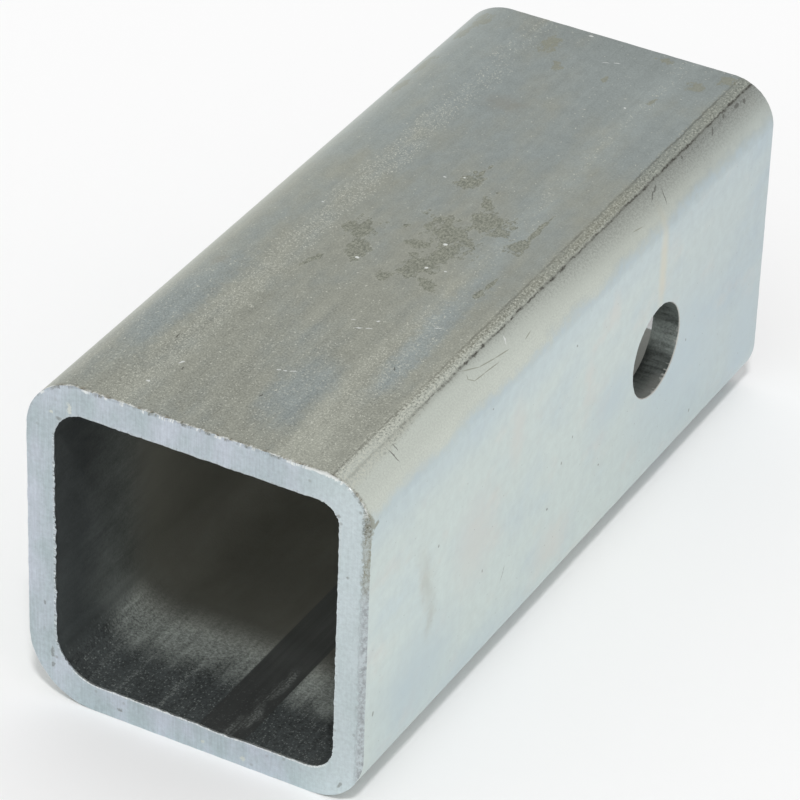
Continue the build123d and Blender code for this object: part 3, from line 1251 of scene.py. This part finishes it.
def zinc_side(colours):
    """The sides and the bottom: pale plate with faint stains, dark specks and a smear."""
    finish = Finish("zinc_side")
    skin = finish.unrolled()
    around, along, _ = finish.split(skin)
    steps = finish.jitter(skin, 0.5, 4, 0.6)
    soft = finish.moved(skin, steps, 5.0)
    nudged = finish.moved(skin, steps, 0.8)
    tint, mottle = zinc_plate(finish, skin, around, along, colours)
    blue = finish.ease(finish.marks(soft, BLUE_PATCHES), -0.4, 0.9, 0.0, 0.5)
    tint = finish.blend(blue, tint, colours.zinc_blue)
    warm = finish.ease(finish.marks(soft, WARM_PATCHES), -0.4, 0.9, 0.0, 0.55)
    tint = finish.blend(warm, tint, colours.warm_zinc_and_light)
    drip = finish.ease(finish.marks(nudged, DRIPS), -0.4, 0.8)
    tint = finish.blend(finish.times(drip, 0.6), tint, colours.drip)
    smear = finish.ease(finish.marks(soft, SMEARS), -0.7, 1.2, 0.0, 0.24)
    tint = finish.blend(smear, tint, colours.rust)
    specks = finish.ease(finish.marks(nudged, SPECKS), 0.0, 0.5, 0.0, 0.65)
    dust = finish.times(finish.dots(skin, 0.3, 0.4, 0.05), 0.45)
    dirty = finish.most(specks, dust)
    tint = finish.blend(dirty, tint, colours.dirt)
    tint, patches, grime = front_dirt(finish, skin, tint, colours)
    dirty = finish.most(dirty, patches)
    worn = finish.ease(finish.total(along, finish.times(grime, -0.8)), 0.08, -0.1, 0.0, 0.6)
    tint = finish.blend(worn, tint, colours.bare_and_glint)
    finish.set(
        Base_Color=tint,
        Roughness=finish.total(finish.ease(mottle, 0.2, 0.8, 0.36, 0.46), finish.times(dirty, 0.2)),
        Metallic=finish.ease(dirty, 0.0, 1.0, 0.95, 0.4),
    )
    finish.bump(finish.total(mottle, finish.times(grime, 0.5)), 0.02)
    return finish.material


class SawnFinish(Finish):
    """The finish of the sawn ends, with the places and the noises that its layers share."""

    def __init__(self, colours):
        super().__init__("sawn_end")
        self.colours = colours
        place = self.place()
        self.x, y, self.z = self.split(place)
        self.from_front = self.math("SUBTRACT", y, FRONT)
        self.around, self.across, _ = self.split(self.unrolled())
        self.flat = self.join(self.x, self.z)
        self.lines = self.noise(self.stretched(place, (1.0, 0.0, 0.05)), 3.0, 4, 0.7)
        self.slow = self.noise(self.stretched(place, (1.0, 0.0, 0.6)), 0.12, 3, 0.55)
        self.strokes = self.noise(self.stretched(place, (1.0, 1.0, 0.8)), 1.3, 5, 0.75)
        self.grain = self.noise(self.flat, 1.3, 5, 0.68)
        self.pitted = self.noise(place, 2.2, 4, 0.8)

    def saw_cut(self):
        """Fine upright saw lines under thin plate, made lighter towards the bottom as painted light, with
        specks of dirt and blobs of zinc.
        """
        x, colours = self.x, self.colours
        tint = self.blend(self.ease(self.slow, 0.35, 0.65), colours.sawn, colours.sawn_lilac)
        tint = self.blend(self.ease(x, 14.0, 28.0, 0.0, 0.75), tint, colours.sawn_pale)
        level = self.total(
            self.times(self.ease(self.lines, 0.3, 0.7, -0.085, 0.085), self.ease(x, 10.0, 26.0, 1.0, 0.5)),
            self.ease(self.grain, 0.25, 0.75, -0.09, 0.09),
            self.times(self.ease(self.slow, 0.3, 0.7, -0.09, 0.09), self.ease(x, 10.0, 26.0, 1.0, 0.3)),
            # Painted light: the lower part of the face is made up to 8% lighter
            self.ease(self.z, -16.0, -31.0, 1.0, 1.08),
        )
        tint = self.shade(tint, level)
        frayed = self.total(self.times(self.grain, 3.0), -1.5)
        specks = self.ease(self.total(self.marks(self.flat, FACE_SPECKS), frayed), 0.0, 0.5, 0.0, 0.6)
        spots = self.times(self.dots(self.flat, 0.3, 0.4, 0.12), 0.4)
        tint = self.blend(self.most(specks, spots), tint, colours.dirt)
        blobs = self.ease(self.total(self.marks(self.flat, FACE_BLOBS), frayed), 0.0, 0.5, 0.0, 0.6)
        return self.blend(blobs, tint, colours.fleck)

    def filed_edge(self, tint):
        """The filed edge: short strokes across it, brown and pitted near its top."""
        colours, strokes, pitted = self.colours, self.strokes, self.pitted
        jagged = self.total(self.x, self.times(strokes, 3.0), -1.5)
        on_edge = self.ease(jagged, HALF_SIDE - 1.25, HALF_SIDE - 0.9)
        filed = self.times(on_edge, self.ease(self.from_front, 2.0, 1.5))
        filed_tint = self.shade(colours.filed, self.ease(strokes, 0.34, 0.66, 0.76, 1.26))
        upper_part = self.within(self.total(self.z, self.times(self.grain, 6.0), -3.0), 11.5, 30.0, 3.0)
        brown = self.times(upper_part, self.ease(pitted, 0.38, 0.6, 0.95, 0.55))
        filed_tint = self.blend(brown, filed_tint, colours.tan)
        pits = self.times(upper_part, self.ease(pitted, 0.43, 0.34, 0.0, 0.42))
        filed_tint = self.blend(pits, filed_tint, colours.line)
        shown = self.times(filed, self.ease(strokes, 0.4, 0.62, 1.0, 0.45))
        return self.blend(shown, tint, filed_tint), filed

    def inner_edge(self, tint):
        """The inner edge: bright teeth of burr, strongest on the left, and dark gaps between them, with a
        painted highlight along the bottom and a faint one all round.
        """
        teeth = self.noise(self.join(self.around, 0.0), 1.5, 4, 0.8)
        edge = self.ease(self.across, 0.915, 0.935)
        on_left = self.times(self.ease(self.x, -24.0, -26.0), self.ease(self.z, 24.0, 20.0))
        on_bottom = self.ease(self.z, -24.0, -26.0)
        gaps = self.times(edge, self.ease(teeth, 0.5, 0.39), self.most(on_left, 0.3), 0.85)
        tint = self.blend(gaps, tint, self.colours.line)
        # Painted highlight: a bright line along the bottom inner edge, and a faint one all round the edge
        painted_bottom_highlight = self.times(on_bottom, self.ease(teeth, 0.45, 0.58, 0.35, 1.0))
        bright = self.most(self.times(on_left, self.ease(teeth, 0.5, 0.62, 0.0, 0.75)), painted_bottom_highlight, 0.08)
        return self.blend(self.times(edge, bright), tint, self.colours.bare_and_glint)

    def outer_edge(self, tint):
        """The outer edge: bright and dark bits along the top, the bright ones bare crumbs with painted
        highlights, and a painted highlight streak on the right corner.
        """
        around, across, colours, pitted = self.around, self.across, self.colours, self.pitted
        bits = self.noise(self.join(around, 3.0), 0.5, 5, 0.75)
        ragged = self.total(across, self.times(pitted, 0.08), -0.04)
        edge = self.times(self.ease(ragged, 0.11, 0.05), self.ease(self.z, 22.0, 30.0))
        corner_edge = self.times(self.ease(across, 0.1, 0.04), self.within(around, 28.5, 38.0, 1.0))
        bits_dark = self.times(edge, self.ease(bits, 0.5, 0.38), 0.7)
        corner_dark = self.times(corner_edge, self.ease(pitted, 0.58, 0.42), 0.45)
        crumbs = self.blend(self.ease(pitted, 0.42, 0.58), colours.line, colours.tan)
        tint = self.blend(self.most(bits_dark, corner_dark), tint, crumbs)
        # Painted highlight along the outer edge at the right-hand corner
        streak = self.times(
            self.within(around, 20.0, 26.0, 0.8),
            self.ease(across, 0.075, 0.045),
            self.ease(bits, 0.36, 0.46),
        )
        # Bright bits along the top are bare crumbs with painted highlights, and the corner streak is a
        # painted highlight
        bare_and_glint = self.most(self.times(edge, self.ease(bits, 0.53, 0.6), 0.95), streak)
        return self.blend(self.times(bare_and_glint, 0.9), tint, colours.bare_and_glint)


def sawn_end(colours):
    """The sawn ends: fine upright saw lines under thin plate, a bright burr, painted highlights along the
    edges, and the grey filed edge.
    """
    finish = SawnFinish(colours)
    tint, filed = finish.filed_edge(finish.saw_cut())
    tint = finish.outer_edge(finish.inner_edge(tint))
    finish.set(
        Base_Color=tint,
        Roughness=finish.total(finish.ease(finish.lines, 0.2, 0.8, 0.34, 0.5), finish.times(filed, 0.08)),
        Metallic=0.9,
    )
    cuts = finish.times(finish.strokes, filed, 2.5)
    finish.bump(finish.total(finish.lines, finish.times(finish.grain, 0.4), cuts), 0.03)
    return finish.material


class InsideFinish(Finish):
    """The finish of the inner skin, with the places and the noises that its layers share."""

    def __init__(self, colours, sizes):
        super().__init__("bare_inside")
        self.colours = colours
        self.scarf_left = (sizes.scarf_place - sizes.scarf_width / 2) / MM
        self.scarf_right = (sizes.scarf_place + sizes.scarf_width / 2) / MM
        self.everywhere = self.place()
        self.x, self.y, self.z = self.split(self.everywhere)
        self.from_front = self.math("SUBTRACT", self.y, FRONT)
        self.floor = self.ease(self.z, -20.5, -25.5)
        self.grain = self.noise(self.everywhere, 2.4, 4, 0.75)
        self.mottle = self.noise(self.stretched(self.everywhere, (1.0, 0.6, 1.0)), 0.16, 4, 0.6)
        self.drawn = self.noise(self.stretched(self.everywhere, (1.0, 0.03, 1.0)), 0.9, 3, 0.65)

    def scaled_steel(self):
        """Scaled steel, sooty near the front, with painted light on the bottom wall beyond the pin hole and
        on the lower left wall near the front, and a painted shadow edge across the bottom wall.
        """
        colours, from_front, floor = self.colours, self.from_front, self.floor
        grain, mottle, drawn = self.grain, self.mottle, self.drawn
        wavering = self.total(self.times(mottle, 8.0), self.times(drawn, 2.5), self.times(grain, 2.5), -6.5)
        soot_end = self.ease(floor, 0.0, 1.0, 34.0, 19.0)
        soot_fade = self.ease(floor, 0.0, 1.0, 6.0, 10.0)
        soot = self.ease(self.total(from_front, wavering), soot_end, soot_fade)
        deep = self.ease(from_front, 18.0, 32.0)
        tint = self.blend(deep, colours.inside, colours.inside_deep)
        # Painted light: the bottom wall beyond the pin hole is made paler
        tint = self.blend(self.times(floor, self.ease(self.y, -30.0, -8.0)), tint, colours.inside_painted_light)
        tint = self.blend(soot, tint, colours.soot)
        left_wall = self.ease(self.x, -25.6, -26.3)
        sharp = self.most(self.ease(floor, 0.0, 1.0, 0.2, 1.0), self.times(left_wall, 0.45))
        sharp = self.times(sharp, self.ease(deep, 0.0, 1.0, 1.0, 0.12))
        clouded = self.times(self.ease(floor, 0.0, 1.0, 0.6, 1.0), self.ease(deep, 0.0, 1.0, 1.0, 0.4))
        # Painted light on the lower left wall near the front, where light falls in through the front end
        lit = self.times(left_wall, self.ease(self.z, 12.0, -12.0))
        level = self.total(
            self.times(lit, self.ease(from_front, 26.0, 2.0, 0.06, 0.36)),
            self.times(self.ease(grain, 0.25, 0.75, -0.6, 0.6), sharp),
            self.times(self.ease(drawn, 0.25, 0.75, -0.16, 0.16), sharp),
            self.times(self.ease(mottle, 0.3, 0.7, -0.16, 0.16), clouded),
            # Painted shadow: a darker band across the bottom wall 24 to 29 mm in, which sharpens the edge of
            # the light that falls in at the front
            self.times(floor, self.within(from_front, 24.0, 29.0, 2.0), -0.16),
            1.0,
        )
        return self.shade(tint, level), soot

    def bright_grains(self, soot):
        """Streaks and a sprinkle of bright grains on the bottom wall, near the front."""
        wavy = self.total(self.x, self.times(self.mottle, 2.4), -1.2)
        streaks = 0.0
        for middle, share in ((-20.5, 0.4), (-15.0, 0.6), (-7.1, 1.0)):
            streak = self.ease(self.apart(wavy, middle), 0.6, 0.1, 0.0, share)
            streaks = self.most(streak, streaks)
        streaks = self.times(streaks, self.ease(self.from_front, 24.0, 14.0))
        streaks = self.times(streaks, self.ease(self.grain, 0.42, 0.62))
        sprinkle = self.dots(self.stretched(self.everywhere, (1.0, 0.7, 1.0)), 3.0, 0.3, 0.5)
        return self.times(self.most(self.times(sprinkle, soot, 0.28), self.times(streaks, 0.26)), self.floor)

    def scarfed_weld(self, tint, bright):
        """The dark trace of the scarfed weld, made lighter deeper in as painted light, rubbed bright in
        places, and the bright grains over it all.
        """
        from_front, drawn = self.from_front, self.drawn
        bottom = self.ease(self.z, -26.0, -26.4)
        scarf = self.times(bottom, self.within(self.x, self.scarf_left, self.scarf_right, 0.15))
        # Painted light: the trace is made up to five times lighter from 20 to 35 mm in
        lighter = self.ease(from_front, 20.0, 35.0, 1.1, 5.0)
        level = self.times(self.ease(drawn, 0.25, 0.75, 0.86, 1.14), lighter)
        tint = self.blend(self.times(scarf, 0.94), tint, self.shade(self.colours.scarf, level))
        bright = self.times(bright, self.ease(scarf, 0.0, 1.0, 1.0, 0.25))
        curl = self.total(self.x, self.times(self.mottle, 7.0), self.times(from_front, -0.06), -3.2)
        rubbed = self.times(
            self.ease(self.apart(curl, 6.6), 1.5, 0.2),
            self.ease(from_front, 23.0, 19.0),
            scarf,
            self.ease(self.grain, 0.4, 0.62, 0.02, 0.3),
            self.ease(drawn, 0.42, 0.58, 0.2, 1.0),
        )
        return self.blend(self.most(bright, rubbed), tint, self.colours.inside_glint)


def bare_inside(colours, sizes):
    """The inner skin: scaled steel, sooty at the front, with the dark trace of the scarfed weld."""
    finish = InsideFinish(colours, sizes)
    tint, soot = finish.scaled_steel()
    tint = finish.scarfed_weld(tint, finish.bright_grains(soot))
    finish.set(Base_Color=tint, Roughness=finish.ease(finish.grain, 0.2, 0.8, 0.55, 0.75), Metallic=0.3)
    finish.bump(finish.total(finish.grain, finish.times(finish.drawn, 0.4)), 0.04)
    return finish.material


def hole_wall(colours):
    """The wall of the pin hole: dark, with drill marks, a lighter band of painted light between painted shade
    above and below it, more painted light low down by the outer rim, and bright chips at its rim painted as
    highlights, with a thin painted highlight round the rim.
    """
    finish = Finish("hole_wall")
    drill = finish.unrolled()
    around, deep, _ = finish.split(drill)
    _, _, z = finish.split(finish.place())
    marks = finish.noise(finish.stretched(drill, (1.0, 0.08, 1.0)), 1.8, 4, 0.7)
    grain = finish.noise(drill, 2.5, 3, 0.65)
    patch = finish.noise(drill, 0.3, 4, 0.6)
    # Painted light and shade by height on the wall: a lighter band from about z -5 to z -1 mm, darker above
    # and below it
    height = finish.total(
        0.95,
        finish.ease(z, -1.0, -5.0, 0.0, -0.3),
        finish.ease(z, -6.8, -7.8, 0.0, 0.1),
        finish.ease(z, -5.7, -4.1, 0.0, 1.3),
        finish.ease(z, -1.6, 0.4, 0.0, -0.5),
    )
    roughened = finish.total(
        finish.ease(marks, 0.3, 0.7, -0.22, 0.22),
        finish.ease(grain, 0.25, 0.75, -0.2, 0.2),
        finish.ease(patch, 0.38, 0.6, 0.82, 1.16),
    )
    tint = finish.shade(colours.hole, finish.times(height, roughened))
    # Painted light low on the wall near the outer rim, in warm zinc
    lit = finish.times(finish.ease(z, -7.2, -8.7), finish.ease(deep, 3.2, 0.6), 0.4)
    tint = finish.blend(lit, tint, colours.warm_zinc_and_light)
    # Painted highlight: a thin bright ring at the rim, and bright chips that are nicks in the edge painted as
    # highlights
    rim = finish.ease(deep, 0.24, 0.1, 0.0, 0.8)
    nicks = finish.noise(finish.join(around, 0.0), 0.55, 3, 0.7)
    nicks = finish.total(nicks, finish.ease(z, -1.5, -3.0, 0.0, 0.04))
    chipped = finish.ease(finish.total(deep, finish.times(grain, -1.6)), 0.1, -0.5)
    chips = finish.times(finish.ease(nicks, 0.54, 0.61), chipped, 0.8)
    tint = finish.blend(finish.most(rim, chips), tint, colours.warm_zinc_and_light)
    finish.set(Base_Color=tint, Roughness=finish.ease(marks, 0.2, 0.8, 0.4, 0.6), Metallic=0.8)
    finish.bump(finish.total(marks, finish.times(grain, 0.4)), 0.04)
    return finish.material


def direction(azimuth, height):
    """Unit vector towards a place in the sky. Its azimuth starts at the front and turns to the right."""
    level = math.cos(height)
    return Vector((math.sin(azimuth) * level, -math.cos(azimuth) * level, math.sin(height)))


class ADAPTER_OT_tube(bpy.types.Operator):
    """Build the tube with its finishes"""

    bl_idname = "adapter.tube"
    bl_label = "Build Tube"
    bl_options = {"REGISTER", "UNDO"}

    def execute(self, context):
        sizes = context.scene.adapter_sizes
        colours = context.scene.adapter_colours
        mesh = tube_mesh(sizes)
        for finish in (
            zinc_top(colours),
            zinc_side(colours),
            sawn_end(colours),
            bare_inside(colours, sizes),
            hole_wall(colours),
        ):
            mesh.materials.append(finish)
        piece = bpy.data.objects.new(PIECE + "_dressed", mesh)
        context.scene.collection.objects.link(piece)
        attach(piece, "root")
        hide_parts(PIECE)
        return {"FINISHED"}


class ADAPTER_OT_stage(bpy.types.Operator):
    """Build the floor, the light and the camera"""

    bl_idname = "adapter.stage"
    bl_label = "Build Stage"
    bl_options = {"REGISTER", "UNDO"}

    def execute(self, context):
        scene = context.scene
        stage = scene.adapter_stage
        self.floor(scene, stage)
        self.light(scene, stage)
        self.camera(scene, stage)
        scene.view_settings.view_transform = "Standard"
        return {"FINISHED"}

    def floor(self, scene, stage):
        """A plain pale floor under the tube."""
        reach = FLOOR_REACH
        low = tube_low[2]
        mesh = bpy.data.meshes.new("floor")
        corners = [(-reach, -reach, low), (reach, -reach, low), (reach, reach, low), (-reach, reach, low)]
        mesh.from_pydata(corners, [], [(0, 1, 2, 3)])
        finish = Finish("floor_paint")
        finish.set(Base_Color=stage.floor, Roughness=0.9, Specular_IOR_Level=0.0)
        mesh.materials.append(finish.material)
        floor = bpy.data.objects.new("floor", mesh)
        scene.collection.objects.link(floor)

    def light(self, scene, stage):
        """Even light from all round, and a soft main light."""
        world = bpy.data.worlds.new("studio")
        world.use_nodes = True
        background = world.node_tree.nodes["Background"]
        background.inputs["Color"].default_value = (1.0, 1.0, 1.0, 1.0)
        background.inputs["Strength"].default_value = stage.sky
        scene.world = world
        lamp = bpy.data.lights.new("key", "SUN")
        lamp.energy = stage.key
        lamp.angle = stage.key_softness
        key = bpy.data.objects.new("key", lamp)
        towards = direction(stage.key_azimuth, stage.key_height)
        key.rotation_mode = "QUATERNION"
        key.rotation_quaternion = towards.to_track_quat("Z", "Y")
        key.location = towards
        scene.collection.objects.link(key)

    def camera(self, scene, stage):
        """The camera that took the photo."""
        view = bpy.data.cameras.new("camera")
        view.sensor_width = 36.0
        view.lens = stage.lens
        view.clip_start = 0.01
        view.clip_end = 100.0
        camera = bpy.data.objects.new("camera", view)
        ahead = -direction(stage.camera_azimuth, stage.camera_height)
        roll = Quaternion((0.0, 0.0, 1.0), stage.camera_roll)
        camera.rotation_mode = "QUATERNION"
        camera.rotation_quaternion = ahead.to_track_quat("-Z", "Y") @ roll
        camera.location = stage.camera_place
        scene.collection.objects.link(camera)
        scene.camera = camera


class ADAPTER_PT_panel(bpy.types.Panel):
    """The adapter's sizes, colours and stage"""

    bl_idname = "ADAPTER_PT_panel"
    bl_label = "Hitch Receiver Adapter"
    bl_space_type = "VIEW_3D"
    bl_region_type = "UI"
    bl_category = "Adapter"

    def draw(self, context):
        for group, operator in (
            (context.scene.adapter_sizes, None),
            (context.scene.adapter_colours, ADAPTER_OT_tube.bl_idname),
            (context.scene.adapter_stage, ADAPTER_OT_stage.bl_idname),
        ):
            box = self.layout.box()
            for name in group.__annotations__:
                box.prop(group, name)
            if operator:
                box.operator(operator)


CLASSES = (TubeSizes, TubeColours, StageSettings, ADAPTER_OT_tube, ADAPTER_OT_stage, ADAPTER_PT_panel)


def register():
    for entry in CLASSES:
        bpy.utils.register_class(entry)
    bpy.types.Scene.adapter_sizes = PointerProperty(type=TubeSizes)
    bpy.types.Scene.adapter_colours = PointerProperty(type=TubeColours)
    bpy.types.Scene.adapter_stage = PointerProperty(type=StageSettings)


def unregister():
    del bpy.types.Scene.adapter_stage
    del bpy.types.Scene.adapter_colours
    del bpy.types.Scene.adapter_sizes
    for entry in reversed(CLASSES):
        bpy.utils.unregister_class(entry)


def main():
    register()
    bpy.ops.adapter.tube()
    bpy.ops.adapter.stage()


if __name__ == "__main__":
    main()
